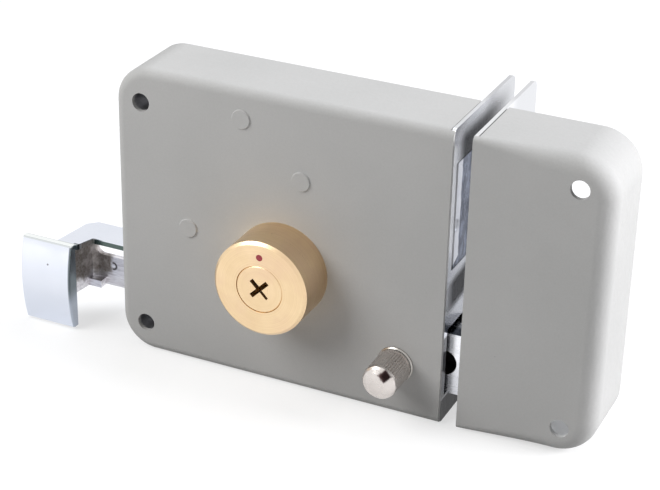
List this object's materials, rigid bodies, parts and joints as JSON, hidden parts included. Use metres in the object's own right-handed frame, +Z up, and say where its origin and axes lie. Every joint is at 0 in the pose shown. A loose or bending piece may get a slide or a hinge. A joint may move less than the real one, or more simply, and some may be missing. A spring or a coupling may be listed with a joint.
{
  "type": "rim lock",
  "caption": "Surface-mounted rim lock with a key-driven dead bolt, a sprung latch with a pull handle, a snib knob and a matching keeper.",
  "frame": {"origin": "on the key cylinder's axis at the back plate's rear face, where the lock meets the door", "axes": "+X towards the keeper, along the lock's length; +Y into the door, so that the front faces -Y; +Z up"},
  "size_m": [0.2016, 0.0675, 0.1],
  "materials": {
    "painted_grey": "satin, slightly textured",
    "cast_chrome": "bright outside, rough and dull inside the arm",
    "chrome_plate": "bright",
    "bolt_chrome": "satin bright",
    "nickel_knob": "bright",
    "zinc_steel": "satin",
    "spring_steel": "satin",
    "turned_brass": "fine turned",
    "red_enamel": "gloss"
  },
  "bodies": {
    "case": {"case_cover": "painted_grey", "front_plate": "chrome_plate", "back_plate": "zinc_steel", "screw_sleeves": "zinc_steel", "upper_post": "painted_grey", "bolt_post": "painted_grey", "rear_post": "painted_grey", "back_screws": "zinc_steel", "plate_rivets": "chrome_plate", "cylinder_body": "turned_brass", "alignment_dot": "red_enamel", "cylinder_nut": "zinc_steel", "driver_pins": "turned_brass", "pin_springs": "spring_steel", "bolt_drag_spring": "spring_steel", "latch_spring": "spring_steel", "spring_bracket": "zinc_steel", "bracket_rivets": "zinc_steel", "snib_bush": "nickel_knob", "snib_nut": "zinc_steel", "snib_washer": "spring_steel", "keeper_cover": "painted_grey", "keeper_plate": "chrome_plate"},
    "plug": {"key_plug": "turned_brass", "plug_clip": "spring_steel", "drive_pinion": "zinc_steel", "key_pins": "turned_brass"},
    "bolt": {"dead_bolt": "bolt_chrome"},
    "latch": {"latch_bolt": "bolt_chrome", "draw_bar": "zinc_steel", "draw_rivets": "zinc_steel", "pull_handle": "cast_chrome", "latch_guide_rod": "zinc_steel"},
    "snib": {"snib_spindle": "zinc_steel", "snib_knob": "nickel_knob"}
  },
  "joints": [
    {"name": "key_turn", "type": "hinge", "parent": "case", "child": "plug", "pos_m": [0, 0, 0], "axis": [0, 1, 0], "range_deg": [0, 360]},
    {"name": "bolt_throw", "type": "slide", "parent": "case", "child": "bolt", "axis": [1, 0, 0], "range_m": [0, 0.022]},
    {"name": "latch_slide", "type": "slide", "parent": "case", "child": "latch", "axis": [-1, 0, 0], "range_m": [0, 0.014], "stiffness_N_per_m": 400, "springref_m": -0.01, "deforming": ["latch_spring"]},
    {"name": "snib_turn", "type": "hinge", "parent": "case", "child": "snib", "pos_m": [0.0398, -0.026, -0.0239], "axis": [0, 1, 0], "range_deg": [0, 90]}
  ],
  "couplings": [
    {"joint": "key_turn", "follows": "bolt_throw", "rad_per_m": 285.59}
  ]
}
